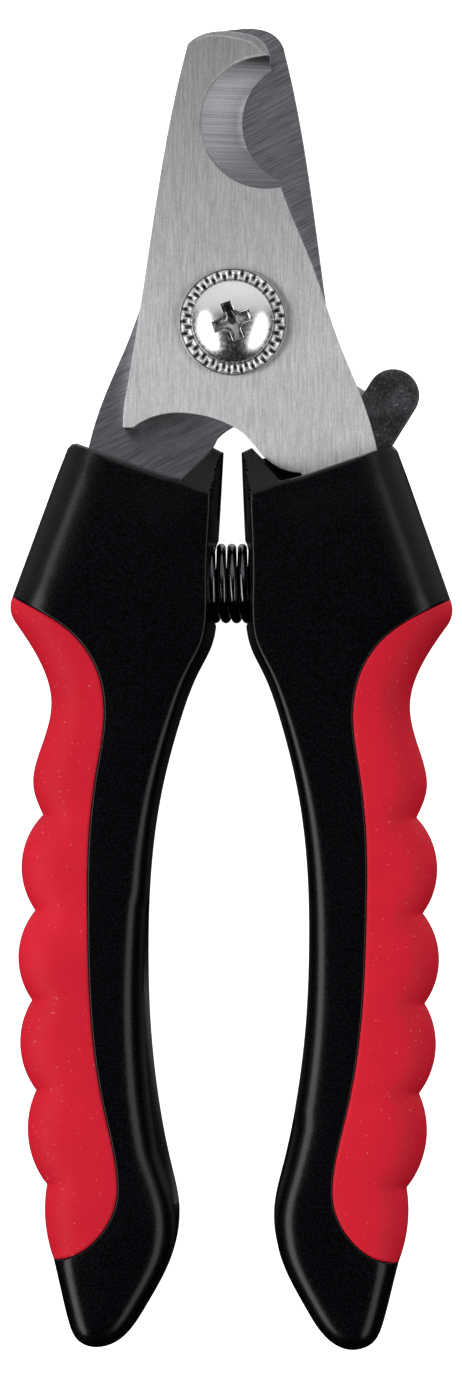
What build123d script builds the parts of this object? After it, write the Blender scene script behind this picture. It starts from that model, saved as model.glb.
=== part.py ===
from build123d import *
import os
from math import pi

# Plier-type pet nail trimmer, lying closed on its back. Millimetres, +Z up (screw-head side),
# +Y towards the blade tips. The origin is below the middle of the object, on the face it rests on.
# The two halves are mirror images in plan: side = +1 is the right half, side = -1 the left half.
# Plan coordinates in the outlines below are counted from the pivot axis.

os.makedirs("parts", exist_ok=True)

# ---- driving dimensions -------------------------------------------------------------------------
PIVOT_Y = 44.3            # pivot axis, from the middle of the 160 mm length
HANDLE_T = 14.0           # handle thickness
MID_Z = HANDLE_T / 2      # parting plane of the handle halves
BLADE_T = 2.5             # blade sheet thickness
BLADE_GAP = 0.05          # running gap between the crossing blades
REAR_Z = MID_Z - BLADE_GAP - BLADE_T
TIP_LENGTH = 35.2         # pivot to the front blade's top
REAR_TIP_EXTRA = 0.5      # the rear blade reaches this much further

SHOULDER_R = 3.0          # plain shoulder of the pivot screw
RUNNING = 0.05            # radial clearance of a turning fit
HEAD_R = 5.0
HEAD_RIM = 0.4            # straight edge under the dome
DOME_H = 2.0
RECESS_SPAN = 4.65
RECESS_WIDTH = 1.1
RECESS_DEPTH = 1.9
RECESS_TURN = 20.0
THREAD_R = 2.5
NUT_T = 2.6
NUT_FLATS = 8.0
WAVE_R = 5.2
WAVE_T = 0.5
WAVE_GAP = 0.2            # height the wave washer takes up

WASHER_T = 0.8
WASHER_R = 6.5
WASHER_RIM = 0.25
TOOTH_COUNT = 25
TOOTH_H = 0.3

SPRING_Y = -31.6          # spring axis, from the pivot
SPRING_WIRE = 1.15
SPRING_R = 4.27           # to the middle of the wire
SPRING_TURNS = 16
POCKET_R = 5.2
POCKET_END = 10.9         # pocket floor, from the middle plane

RIVET_AT = (12.5, -19.9)  # lock lever's rivet, from the pivot
RIVET_R = 1.5
LEVER_LEAN = 31.4         # the lever's lean to the right, released
LOCK_SWING = 9.0
LEVER_Z = 4.95
LEVER_T = 1.6
TAB_AT = 13.24            # thumb tab's centre, along the lever
TAB_R = 3.15
COATING = 0.4
SWING_ROOM = 0.4

CORE_Z = 3.6              # the core inside a grip starts this far from each handle face
INNER_EDGE_R = 2.2        # rounding of the handles' inner edges
OUTER_EDGE_R = 3.6        # rounding of the handles' outer edges
GRIP_EDGE_R = 3.0

# ---- outlines, right half, from the pivot ---------------------------------------------------------
BLADE_BACK = [(-5.72, 33.6), (-7.75, 24.6), (-10.5, 6.8), (-11.5, -0.3), (-13.15, -10.5)]
BLADE_CORNER = (-13.2, -12.85)
BLADE_FOOT = [(-12.0, -12.85), (-8.0, -11.1), (-5.2, -11.05), (-1.0, -12.1), (1.2, -13.35),
              (4.3, -16.65), (6.2, -17.8), (8.3, -18.2)]
TANG_INNER = [(8.3, -18.2), (11.9, -26.0), (11.9, -37.0), (9.4, -46.0), (10.4, -56.0)]
TANG_OUTER = [(14.4, -56.0), (13.7, -46.0), (17.0, -36.0), (18.6, -24.5), (17.5, -15.2)]
BLADE_FRONT = [(17.5, -15.2), (15.0, -7.5), (12.95, -2.7), (9.5, 7.0), (7.4, 11.9), (5.65, 16.3)]
HOOK = (4.2, 32.1)
NOTCH_FACE = (3.86, 24.2, 8.02)     # notch on the blade's outer face: centre and radius
NOTCH_EDGE = (8.43, 24.2, 7.5)      # notch at the cutting edge, on the face that meets the other blade
NOTCH_HOLLOW = 0.35                 # depth of the hollow grinding between them
LOCK_STEP = [(14.0, -7.0), (12.65, -6.45), (9.8, -5.4), (9.6, -9.0), (9.6, -14.0), (14.0, -14.0)]
REAR_FOOT = [(2.0, -14.2), (2.9, -16.0), (5.4, -18.9), (8.3, -20.8), (10.5, -21.5), (9.5, -15.0),
             (3.0, -12.5)]           # the rear blade's foot reaches this much further, under the web

TOP_WEB = [(1.1, -15.75), (2.35, -15.15)]
TOP_EDGE = [(6.1, -18.95), (8.5, -18.4), (17.6, -15.2)]
TOP_CORNER = [(18.9, -14.75), (19.5, -14.85), (20.0, -15.4)]
SLOPE_FOOT = [(-0.6, -22.24), (21.6, -14.43)]   # where the slope at the top leaves the front face
SLOPE_RUN = 5.7
SLOPE_Z = 9.0
SHELF = [(2.35, -15.15), (5.5, -15.9), (12.0, -16.9), (8.5, -18.4), (6.1, -18.95)]
SHELF_Z = 4.2             # the back half's shelf under the blades' feet
OUTER_TOP = [(20.0, -15.4), (21.4, -19.1), (26.55, -33.4)]
GRIP_LINE = [(26.55, -33.4), (23.1, -35.1), (18.8, -38.0), (15.9, -42.3), (15.0, -47.8), (15.8, -54.0),
             (16.7, -62.0), (16.8, -72.0), (16.4, -83.0), (14.8, -94.6), (13.15, -102.4),
             (13.1, -106.3), (15.2, -110.6), (18.5, -113.0), (20.95, -113.5)]
INNER_EDGE = [(20.95, -113.5), (20.2, -116.6), (19.1, -121.0), (17.9, -123.4), (15.5, -124.3),
              (12.9, -123.4), (9.7, -119.3), (6.9, -113.9), (5.75, -107.2), (6.8, -101.9), (8.5, -93.2),
              (9.45, -84.5), (9.74, -76.0), (9.55, -67.5), (8.4, -57.6), (6.05, -48.1), (3.87, -42.3),
              (2.3, -39.0), (1.8, -36.3), (1.75, -31.0), (1.5, -24.0), (1.1, -15.75)]

GRIP_TOP = [(26.55, -33.4), (26.8, -34.5), (26.2, -36.5)]
GRIP_WAIST = [(26.2, -36.5), (23.3, -41.0), (21.75, -46.0), (22.8, -51.2), (23.85, -56.4), (22.65, -59.8)]
SCALLOPS = [((22.65, -59.8), (25.2, -66.4), (23.5, -71.4)),
            ((23.5, -71.4), (25.5, -77.0), (23.8, -82.3)),
            ((23.8, -82.3), (25.2, -87.6), (23.2, -93.2)),
            ((23.2, -93.2), (24.2, -98.2), (21.8, -104.6)),
            ((21.8, -104.6), (22.0, -108.8), (20.95, -113.5))]
CORE_EDGE = [(23.6, -37.0), (20.4, -41.5), (18.8, -47.5), (20.0, -56.0), (20.7, -64.0), (20.9, -74.0),
             (20.4, -84.0), (19.0, -95.0), (17.2, -103.0), (17.3, -108.0), (18.6, -111.0)]
CORE_BACK = [(18.6, -111.0), (11.0, -104.0), (13.0, -72.0), (12.0, -46.0), (23.6, -37.0)]


def level(z):
    """A horizontal plane at height z with its origin on the pivot axis."""
    return Plane(origin=(0, PIVOT_Y, z))


def on_side(points, side):
    """The right half's plan points, or their mirror image for the left half."""
    return [(side * x, y) for x, y in points]


def finish(part, label):
    """Name a finished piece and write it to its own file."""
    part.label = label
    export_step(part, f"parts/{label}.step")


# ---- blades ---------------------------------------------------------------------------------------
def blade_face(side, tip_extra=0.0):
    """The blade's flat outline, before the notch is ground."""
    top = TIP_LENGTH + tip_extra
    tip = [HOOK, (3.65, 33.5), (2.4, top - 0.65), (0.4, top - 0.15), (-1.8, top), (-3.8, top - 0.35),
           BLADE_BACK[0]]
    with BuildSketch() as face:
        with BuildLine():
            Spline(*on_side(BLADE_BACK, side))
            Polyline(*on_side([BLADE_BACK[-1], BLADE_CORNER, BLADE_FOOT[0]], side))
            Spline(*on_side(BLADE_FOOT, side))
            Spline(*on_side(TANG_INNER, side))
            Line(*on_side([TANG_INNER[-1], TANG_OUTER[0]], side))
            Spline(*on_side(TANG_OUTER, side))
            Spline(*on_side(BLADE_FRONT, side))
            Line(*on_side([BLADE_FRONT[-1], HOOK], side))
            Spline(*on_side(tip, side))
        make_face()
        if side < 0:
            with BuildLine():
                Polyline(*on_side(REAR_FOOT, side), close=True)
            make_face()
    return face.sketch


def notch_circle(side, share):
    """Centre and radius of the notch, share of the way from the cutting edge to the outer face."""
    hollow = NOTCH_HOLLOW * 4 * share * (1 - share)
    x = NOTCH_EDGE[0] + (NOTCH_FACE[0] - NOTCH_EDGE[0]) * share - hollow
    y = NOTCH_EDGE[1] + (NOTCH_FACE[1] - NOTCH_EDGE[1]) * share
    radius = NOTCH_EDGE[2] + (NOTCH_FACE[2] - NOTCH_EDGE[2]) * share
    return side * x, y, radius


def notch_grinding(side, edge_z, face_z):
    """What grinding takes off: the hollow crescent bevel, down to the cutting edge."""
    with BuildPart() as grinding:
        for share in (-0.1, 0.5, 1.1):
            x, y, radius = notch_circle(side, share)
            with BuildSketch(level(edge_z + (face_z - edge_z) * share)):
                with Locations((x, y)):
                    Circle(radius)
        loft()
    return grinding.part


def make_front_blade():
    with BuildPart() as front_blade:
        with BuildSketch(level(MID_Z)):
            add(blade_face(1))
        extrude(amount=BLADE_T)
        add(notch_grinding(1, MID_Z, MID_Z + BLADE_T), mode=Mode.SUBTRACT)
        with Locations((0, PIVOT_Y, MID_Z + BLADE_T / 2)):
            Hole(SHOULDER_R)
        with Locations((RIVET_AT[0], RIVET_AT[1] + PIVOT_Y, MID_Z + BLADE_T / 2)):
            Hole(RIVET_R)
        with Locations(*[(x, y + PIVOT_Y, MID_Z + BLADE_T / 2) for x, y in PIN_AT]):
            Hole(PIN_R)
    finish(front_blade.part, "front_blade")


def make_rear_blade():
    with BuildPart() as rear_blade:
        with BuildSketch(level(REAR_Z)):
            add(blade_face(-1, REAR_TIP_EXTRA))
        extrude(amount=BLADE_T)
        add(notch_grinding(-1, REAR_Z + BLADE_T, REAR_Z), mode=Mode.SUBTRACT)
        with BuildSketch(level(REAR_Z)):
            with BuildLine():
                Polyline(*LOCK_STEP, close=True)
            make_face()
        extrude(amount=BLADE_T, mode=Mode.SUBTRACT)
        with Locations((0, PIVOT_Y, REAR_Z + BLADE_T / 2)):
            Hole(SHOULDER_R + RUNNING)
        with Locations(*[(-x, y + PIVOT_Y, REAR_Z + BLADE_T / 2) for x, y in PIN_AT]):
            Hole(PIN_R)
    finish(rear_blade.part, "rear_blade")


# ---- pivot ----------------------------------------------------------------------------------------
FACE_Z = MID_Z + BLADE_T            # the front blade's face, which the serrated washer bites
HEAD_Z = FACE_Z + WASHER_T          # underside of the screw head
WAVE_TOP = REAR_Z - 0.02            # wave washer's face against the rear blade
NUT_TOP = WAVE_TOP - WAVE_T - WAVE_GAP
PIN_AT = [(15.6, -27.0), (12.2, -51.5)]   # dowels through each tang
PIN_R = 1.25
PIN_ENDS = (2.2, 11.8)


def make_pivot_screw():
    with BuildPart() as pivot_screw:
        with BuildSketch(Plane(origin=(0, PIVOT_Y, 0), x_dir=(1, 0, 0), z_dir=(0, -1, 0))):
            with BuildLine():
                foot = NUT_TOP - NUT_T
                Polyline((0, HEAD_Z + HEAD_RIM + DOME_H), (0, foot), (THREAD_R, foot), (THREAD_R, NUT_TOP),
                         (SHOULDER_R, NUT_TOP), (SHOULDER_R, HEAD_Z), (HEAD_R, HEAD_Z),
                         (HEAD_R, HEAD_Z + HEAD_RIM))
                ThreePointArc((HEAD_R, HEAD_Z + HEAD_RIM), (HEAD_R * 0.62, HEAD_Z + HEAD_RIM + DOME_H * 0.66),
                              (0, HEAD_Z + HEAD_RIM + DOME_H))
            make_face()
        revolve(axis=Axis((0, PIVOT_Y, 0), (0, 0, 1)))
        with BuildSketch(level(HEAD_Z + HEAD_RIM + DOME_H + 0.2)):
            for turn in (RECESS_TURN, RECESS_TURN + 90):
                Rectangle(RECESS_SPAN, RECESS_WIDTH, rotation=turn)
        extrude(amount=-RECESS_DEPTH - 0.2, taper=8, mode=Mode.SUBTRACT)
    finish(pivot_screw.part, "pivot_screw")


def make_serrated_washer():
    with BuildPart() as serrated_washer:
        with BuildSketch(level(FACE_Z)):
            Circle(WASHER_R)
            Circle(SHOULDER_R, mode=Mode.SUBTRACT)
        extrude(amount=WASHER_T - TOOTH_H)
        with BuildSketch(level(FACE_Z + WASHER_T - TOOTH_H)):
            Circle(WASHER_R)
            Circle(WASHER_R - WASHER_RIM, mode=Mode.SUBTRACT)
            Circle(HEAD_R - 0.35)
            Circle(SHOULDER_R, mode=Mode.SUBTRACT)
            tooth_w = pi * (HEAD_R + WASHER_R) / 2 / TOOTH_COUNT
            with PolarLocations((HEAD_R + WASHER_R) / 2 - 0.35, TOOTH_COUNT):
                Rectangle(WASHER_R - HEAD_R + 0.5, tooth_w)
        extrude(amount=TOOTH_H)
    finish(serrated_washer.part, "serrated_washer")


def make_wave_washer():
    with BuildPart() as wave_washer:
        with BuildSketch(level(WAVE_TOP - WAVE_T)):
            Circle(WAVE_R)
            Circle(SHOULDER_R + 0.1, mode=Mode.SUBTRACT)
        extrude(amount=WAVE_T)
        with BuildSketch(level(NUT_TOP)):
            with PolarLocations((WAVE_R + SHOULDER_R) / 2, 3):
                Circle(0.8)
        extrude(amount=WAVE_GAP)
    finish(wave_washer.part, "wave_washer")


def make_pivot_nut():
    with BuildPart() as pivot_nut:
        with BuildSketch(level(NUT_TOP - NUT_T)):
            RegularPolygon(NUT_FLATS / 2, 6, major_radius=False)
            Circle(THREAD_R, mode=Mode.SUBTRACT)
        extrude(amount=NUT_T)
        chamfer(pivot_nut.faces().sort_by(Axis.Z)[0].outer_wire().edges(), 0.4)
    finish(pivot_nut.part, "pivot_nut")


# ---- handles --------------------------------------------------------------------------------------
def handle_face(side):
    """The black handle's plan outline."""
    with BuildSketch() as face:
        with BuildLine():
            Polyline(*on_side(TOP_WEB + TOP_EDGE + TOP_CORNER, side))
            Polyline(*on_side(OUTER_TOP, side))
            Spline(*on_side(GRIP_LINE, side))
            Spline(*on_side(INNER_EDGE, side))
        make_face()
    return face.sketch


def core_face(side):
    """Plan outline of the rib that the grip is moulded over."""
    with BuildSketch() as face:
        with BuildLine():
            Spline(*on_side(CORE_EDGE, side))
            Polyline(*on_side(CORE_BACK, side))
        make_face()
    return face.sketch


def grip_face(side):
    """The grip's plan outline: the line where it meets the handle, and the finger scallops."""
    with BuildSketch() as face:
        with BuildLine():
            Spline(*on_side(GRIP_LINE, side))
            ThreePointArc(*on_side(GRIP_TOP, side))
            Spline(*on_side(GRIP_WAIST, side))
            for scallop in SCALLOPS:
                ThreePointArc(*on_side(scallop, side))
        make_face()
    return face.sketch


def edges_on_face(part, z, shortest, longest):
    """The part's edges on the face at height z, within a range of lengths."""
    face_edges = part.edges().filter_by_position(Axis.Z, z - 0.01, z + 0.01)
    return face_edges.filter_by(lambda edge: shortest < edge.length < longest)


def top_slope(side):
    """The wedge to take off a front half's top: from its foot line it deepens towards the blades."""
    foot_1, foot_2 = [Vector(x, y + PIVOT_Y, HANDLE_T) for x, y in SLOPE_FOOT]
    length = foot_2 - foot_1
    middle = Plane(origin=(foot_1 + foot_2) / 2, x_dir=length.rotate(Axis.Z, 90), z_dir=length)
    depth = SLOPE_Z - HANDLE_T
    with BuildPart() as wedge:
        with BuildSketch(middle):
            with BuildLine():
                Polyline((0, 0), (SLOPE_RUN, depth), (SLOPE_RUN * 3, depth), (SLOPE_RUN * 3, HANDLE_T),
                         (0, HANDLE_T), close=True)
            make_face()
        extrude(amount=length.length / 2, both=True)
    return wedge.part if side > 0 else wedge.part.mirror(Plane.YZ)


def handle_half(side, front):
    """One moulded half of a handle: z from the parting plane to one face, hollowed for what it holds."""
    low, high = (MID_Z, HANDLE_T) if front else (0, MID_Z)
    face_z = high if front else low
    core_low = MID_Z if front else CORE_Z
    with BuildPart() as half:
        with BuildSketch(level(low)):
            add(handle_face(side))
        extrude(amount=high - low)
        # the inner edge is the longest, then the one along the grip, then the straight outer edge
        fillet(edges_on_face(half.part, face_z, 14, 20), OUTER_EDGE_R)
        fillet(edges_on_face(half.part, face_z, 100, 200), INNER_EDGE_R)
        if front:
            add(top_slope(side), mode=Mode.SUBTRACT)
        else:
            with BuildSketch(level(0)):
                with BuildLine():
                    Polyline(*on_side(SHELF, side), close=True)
                make_face()
            extrude(amount=SHELF_Z)
        with BuildSketch(level(core_low)):
            add(core_face(side))
        extrude(amount=MID_Z - CORE_Z)
        # spring pocket
        pocket = Cylinder(POCKET_R, POCKET_END, rotation=(0, 90, 0), mode=Mode.PRIVATE)
        add(Pos(side * POCKET_END / 2, PIVOT_Y + SPRING_Y, MID_Z) * pocket, mode=Mode.SUBTRACT)
        # dowel holes
        pin_low, pin_high = PIN_ENDS
        with BuildSketch(level(pin_low)):
            with Locations(*on_side(PIN_AT, side)):
                Circle(PIN_R)
        extrude(amount=pin_high - pin_low, mode=Mode.SUBTRACT)
    return half.part


def cut_tang_slot(part, side):
    """Take the slot of this side's tang out of the half that holds it."""
    slot_z = MID_Z if side > 0 else REAR_Z
    depth = BLADE_T if side > 0 else BLADE_T + BLADE_GAP
    with BuildPart() as slotted:
        add(part)
        with BuildSketch(level(slot_z)):
            add(blade_face(side))
        extrude(amount=depth, mode=Mode.SUBTRACT)
    return slotted.part


def lever_point(along, across, swing=0.0):
    """Plan point along the lock lever from its rivet, and across it to the right."""
    direction = Vector(0, 1).rotate(Axis.Z, swing - LEVER_LEAN)
    right = Vector(1, 0).rotate(Axis.Z, swing - LEVER_LEAN)
    spot = Vector(*RIVET_AT) + direction * along + right * across
    return spot.X, spot.Y


def cut_lever_pocket(part):
    """Open the right back half for the lock lever's whole swing and for its rivet."""
    room = TAB_R + SWING_ROOM
    corners = [lever_point(0, -room, LOCK_SWING), lever_point(11, -room, LOCK_SWING),
               lever_point(11, room), lever_point(0, room)]
    with BuildPart() as opened:
        add(part)
        with BuildSketch(level(LEVER_Z - COATING - 0.15)):
            with Locations(RIVET_AT):
                Circle(room)
            with BuildLine():
                Polyline(*corners, close=True)
            make_face()
        extrude(amount=MID_Z - LEVER_Z + COATING + 0.15, mode=Mode.SUBTRACT)
        with BuildSketch(level(RIVET_FOOT)):
            with Locations(RIVET_AT):
                Circle(RIVET_R)
        extrude(amount=MID_Z - RIVET_FOOT, mode=Mode.SUBTRACT)
    return opened.part


def make_handles():
    for side, name in ((1, "right"), (-1, "left")):
        front_half = handle_half(side, True)
        back_half = handle_half(side, False)
        if side > 0:
            front_half = cut_rivet_head(cut_tang_slot(front_half, side))
            back_half = cut_lever_pocket(back_half)
        else:
            back_half = cut_tang_slot(back_half, side)
        finish(front_half, f"{name}_handle_front")
        finish(back_half, f"{name}_handle_back")


def cut_rivet_head(part):
    """Sink the rivet's head into the right front half, over the tang."""
    with BuildPart() as sunk:
        add(part)
        with BuildSketch(level(FACE_Z)):
            with Locations(RIVET_AT):
                Circle(RIVET_HEAD_R)
        extrude(amount=RIVET_HEAD_T, mode=Mode.SUBTRACT)
    return sunk.part


def make_grips():
    for side, name in ((1, "right"), (-1, "left")):
        with BuildPart() as grip:
            with BuildSketch(level(0)):
                add(grip_face(side))
            extrude(amount=HANDLE_T)
            for face_z in (0, HANDLE_T):
                fillet(edges_on_face(grip.part, face_z, 0, 60), GRIP_EDGE_R)
            with BuildSketch(level(CORE_Z)):
                add(core_face(side))
            extrude(amount=HANDLE_T - 2 * CORE_Z, mode=Mode.SUBTRACT)
        finish(grip.part, f"{name}_grip")


def make_tang_pins():
    for side, name in ((1, "right"), (-1, "left")):
        with BuildPart() as pins:
            with BuildSketch(level(PIN_ENDS[0])):
                with Locations(*on_side(PIN_AT, side)):
                    Circle(PIN_R)
            extrude(amount=PIN_ENDS[1] - PIN_ENDS[0])
        finish(pins.part, f"{name}_tang_pins")


# ---- return spring --------------------------------------------------------------------------------
def make_return_spring():
    length = 2 * POCKET_END - SPRING_WIRE - 0.1
    start = (-length / 2, PIVOT_Y + SPRING_Y, MID_Z)
    with BuildPart() as return_spring:
        with BuildLine():
            coil = Helix(length / SPRING_TURNS, length, SPRING_R, center=start, direction=(1, 0, 0))
        with BuildSketch(Plane(origin=coil @ 0, z_dir=coil % 0)):
            Circle(SPRING_WIRE / 2)
        sweep(is_frenet=True)
    finish(return_spring.part, "return_spring")


# ---- lock -----------------------------------------------------------------------------------------
RIVET_FOOT = 2.0
RIVET_HEAD_R = 2.4
RIVET_HEAD_T = 0.8
LEVER_HEEL_R = 3.0
LEVER_NECK = 2.1
TOOTH = [(9.3, -1.5), (10.3, -6.0), (11.85, -6.0), (11.9, -2.0)]   # along, across
COATING_FROM = 4.6                                                 # coated from here to the tab's end


def lever_solid():
    """The stamped lever, released, with its catch tooth."""
    tab_r = TAB_R - COATING
    with BuildPart() as lever:
        with BuildSketch(level(LEVER_Z)):
            with Locations(RIVET_AT):
                Circle(LEVER_HEEL_R)
            with Locations(lever_point(TAB_AT, 0)):
                Circle(tab_r)
            with BuildLine():
                Polyline(lever_point(0, -LEVER_NECK), lever_point(TAB_AT, -tab_r),
                         lever_point(TAB_AT, tab_r), lever_point(0, LEVER_NECK), close=True)
            make_face()
            with BuildLine():
                Polyline(*[lever_point(*corner) for corner in TOOTH], close=True)
            make_face()
            with Locations(RIVET_AT):
                Circle(RIVET_R + RUNNING, mode=Mode.SUBTRACT)
        extrude(amount=LEVER_T)
    return lever.part


def make_lock():
    lever = lever_solid()
    finish(lever, "lock_lever")
    with BuildPart() as lock_tab_cover:
        with BuildSketch(level(LEVER_Z - COATING)):
            with Locations(lever_point(TAB_AT, 0)):
                Circle(TAB_R)
            with BuildLine():
                Polyline(lever_point(COATING_FROM, -TAB_R), lever_point(TAB_AT, -TAB_R),
                         lever_point(TAB_AT, TAB_R), lever_point(COATING_FROM, TAB_R), close=True)
            make_face()
        extrude(amount=LEVER_T + 2 * COATING)
        top_and_bottom = lock_tab_cover.faces().filter_by(Axis.Z)
        fillet(top_and_bottom.edges(), COATING * 0.8)
        add(lever, mode=Mode.SUBTRACT)
    finish(lock_tab_cover.part, "lock_tab_cover")
    with BuildPart() as lock_rivet:
        with BuildSketch(level(RIVET_FOOT)):
            with Locations(RIVET_AT):
                Circle(RIVET_R)
        extrude(amount=FACE_Z - RIVET_FOOT)
        with BuildSketch(level(FACE_Z)):
            with Locations(RIVET_AT):
                Circle(RIVET_HEAD_R)
        extrude(amount=RIVET_HEAD_T)
    finish(lock_rivet.part, "lock_rivet")
    with BuildPart() as lock_washer:
        with BuildSketch(level(LEVER_Z - COATING - 0.15)):
            with Locations(RIVET_AT):
                Circle(LEVER_HEEL_R)
                Circle(RIVET_R + 0.1, mode=Mode.SUBTRACT)
        extrude(amount=COATING)
    finish(lock_washer.part, "lock_washer")


make_front_blade()
make_rear_blade()
make_pivot_screw()
make_serrated_washer()
make_wave_washer()
make_pivot_nut()
make_handles()
make_grips()
make_tang_pins()
make_return_spring()
make_lock()
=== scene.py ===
import math

import bmesh
import bpy
import numpy as np
from mathutils import Euler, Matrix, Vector
from mathutils.geometry import delaunay_2d_cdt


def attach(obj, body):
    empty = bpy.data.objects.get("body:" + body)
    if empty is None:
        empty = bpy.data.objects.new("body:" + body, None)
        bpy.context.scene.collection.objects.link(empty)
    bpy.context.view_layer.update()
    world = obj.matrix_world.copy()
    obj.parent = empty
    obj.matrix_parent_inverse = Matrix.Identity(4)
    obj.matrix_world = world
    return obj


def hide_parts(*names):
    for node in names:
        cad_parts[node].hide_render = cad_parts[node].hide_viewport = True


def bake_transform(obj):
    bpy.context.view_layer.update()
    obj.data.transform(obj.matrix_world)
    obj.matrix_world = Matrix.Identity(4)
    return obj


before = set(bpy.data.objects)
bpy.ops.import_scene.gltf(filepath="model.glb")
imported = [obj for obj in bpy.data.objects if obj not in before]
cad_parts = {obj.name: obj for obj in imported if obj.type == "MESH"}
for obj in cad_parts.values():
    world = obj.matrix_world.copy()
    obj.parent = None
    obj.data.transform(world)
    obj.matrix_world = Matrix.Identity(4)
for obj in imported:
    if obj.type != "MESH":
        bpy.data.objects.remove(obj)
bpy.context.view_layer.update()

# All shape constants are in millimetres. Plan points are measured from the pivot, for the right-hand
# side; the left-hand side is the mirror image. make_object turns them into metres in the frame.
MM = 0.001
SIDES = ((1, "right"), (-1, "left"))
PIVOT_Y = 44.3
HANDLE_T = 14.0
MID_Z = HANDLE_T / 2
SPRING_Y = -31.6
POCKET_R = 5.2              # spring pocket, from just short of the middle out to its blind end
POCKET_FROM, POCKET_END = -0.5, 10.9

TOP = [(1.1, -15.75), (2.35, -15.15), (6.1, -18.95), (8.5, -18.4), (17.6, -15.2), (18.9, -14.75),
       (19.5, -14.85), (20.0, -15.4)]
OUTER_TOP = [(20.0, -15.4), (21.4, -19.1), (26.55, -33.4)]
GRIP_LINE = [(26.55, -33.4), (23.1, -35.1), (18.8, -38.0), (15.9, -42.3), (15.0, -47.8), (15.8, -54.0),
             (16.7, -62.0), (16.8, -72.0), (16.4, -83.0), (14.8, -94.6), (13.15, -102.4), (13.1, -106.3),
             (15.2, -110.6), (18.5, -113.0), (20.95, -113.5)]
INNER_EDGE = [(20.95, -113.5), (20.2, -116.6), (19.1, -121.0), (17.9, -123.4), (15.5, -124.3),
              (12.9, -123.4), (9.7, -119.3), (6.9, -113.9), (5.75, -107.2), (6.8, -101.9), (8.5, -93.2),
              (9.45, -84.5), (9.74, -76.0), (9.55, -67.5), (8.4, -57.6), (6.05, -48.1), (3.87, -42.3),
              (2.3, -39.0), (1.8, -36.3), (1.75, -31.0), (1.5, -24.0), (1.1, -15.75)]
GRIP_TOP = [(26.55, -33.4), (26.8, -34.5), (26.2, -36.5)]
GRIP_WAIST = [(26.2, -36.5), (23.3, -41.0), (21.75, -46.0), (22.8, -51.2), (23.85, -56.4), (22.65, -59.8)]
SCALLOPS = [((22.65, -59.8), (25.2, -66.4), (23.5, -71.4)),
            ((23.5, -71.4), (25.5, -77.0), (23.8, -82.3)),
            ((23.8, -82.3), (25.2, -87.6), (23.2, -93.2)),
            ((23.2, -93.2), (24.2, -98.2), (21.8, -104.6)),
            ((21.8, -104.6), (22.0, -108.8), (20.95, -113.5))]
# The slope down to the blades at a front half's top: its foot, how far it runs and how low.
SLOPE_FOOT = [(-0.6, -22.24), (21.6, -14.43)]
SLOPE_RUN = 5.7
SLOPE_Z = 9.0
# A shelf of a back half that stands out past its top edge, below the blades.
SHELF = [(2.95, -16.5), (5.5, -15.9), (12.0, -16.9), (10.5, -20.5), (4.5, -20.5)]
SHELF_Z = (0.5, 4.2)
TIP_REACH = 35.2            # pivot to the blades' tips
BLADE_TIP = [(-5.72, 33.6), (-3.8, 34.85), (-1.8, TIP_REACH), (0.4, 35.05), (2.4, 34.55), (3.65, 33.5),
             (4.2, 32.1)]
NOTCH = (3.86, 24.2)        # middle of the notch's grinding
NOTCH_R = 8.0
FACE_Z = 9.5                # the front blade's face
REAR_FACE_Z = 4.45          # the rear blade's, which looks down
RIVET_AT = np.array((12.5, -19.9))
HEAD_Z = 10.3               # underside of the screw head
HEAD_R = 5.0
DOME_TOP = 12.7
DOME_R = 7.25
SHANK = [(3.0, HEAD_Z + 0.3), (3.0, 3.73), (2.5, 3.73), (2.5, 1.33), (2.3, 1.13)]    # (radius, z)
CROSS_REACH, CROSS_ARM, CROSS_CUT = 2.3, 0.62, 1.15    # half span, half width, inner corners cut back to
CROSS_TURN = math.radians(20)
WASHER_R = 6.5
TOOTH_COUNT = 25
LEVER_ROOM = 3.55           # half width of the room the lock lever needs
LEVER_POCKET_Z = 4.4
# Corners of the lever's swing: ahead of the rivet and across, turned by an angle in degrees.
LEVER_SWING = ((0, -LEVER_ROOM, 22.4), (11, -LEVER_ROOM, 22.4), (11, LEVER_ROOM, 31.4), (0, LEVER_ROOM, 31.4))

# The edges of a handle half along its inner edge, by distance below the pivot.
EDGE_Y = [30, 38, 48, 65, 95, 104, 117, 125]
EDGE_RADIUS = [0.4, 0.4, 1.2, 2.2, 3.0, 2.9, 2.5, 2.3]
EDGE_DRAFT = [1.0, 1.0, 0.7, 0.4, 0.4, 0.4, 0.4, 0.4]
OUTER_DRAFT = 0.35
SHOULDER_R = 5.5            # rounded outer edge of a block
TOP_R = 0.45                # the other edges' radii: top, and the grip's top, waist and finger scallops
GRIP_TOP_R, WAIST_R, SCALLOP_R = 4.6, 4.2, 4.0
BY_DEPTH = 9.0              # in place of a radius: read it from EDGE_RADIUS
CROWN, CROWN_WIDTH = 0.25, 7.5
SLOPE_BLEND = 0.15
SEAM_R, SEAM_DIP, SEAM_DIP_WIDTH = 0.25, 0.1, 2.2      # the plastic beside the grip line
GRIP_EDGE_R = 0.4
CREASE_DEPTH, CREASE_WIDTH = 0.3, 0.7
CREASE_FADE = (0.2, 4.5)    # where a crease between scallops starts to fade and has gone
# A ledge where a back half stands out past the front one on the inner edge, by distance below the pivot.
LEDGE_Y = {"left": [69, 71, 100, 113], "right": [95, 97, 103, 113]}
LEDGE_WIDTH = {"left": [0.0, 0.3, 1.2, 0.0], "right": [0.0, 0.35, 0.35, 0.0]}
LEDGE_DROP, LEDGE_FULL = 0.4, 0.35                     # how low it lies, and from what width

STEP = 0.5                  # spacing of points along an outline
INNER_STEP = 0.75           # spacing of points inside it
RING_TURNS = 6              # rows of points round a rounded edge
MERGE = 0.03                # of points this close, one is kept
SEAM = 0.12                 # bevel at the parting line
LAND = 0.75                 # upright foot of a drafted wall


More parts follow.
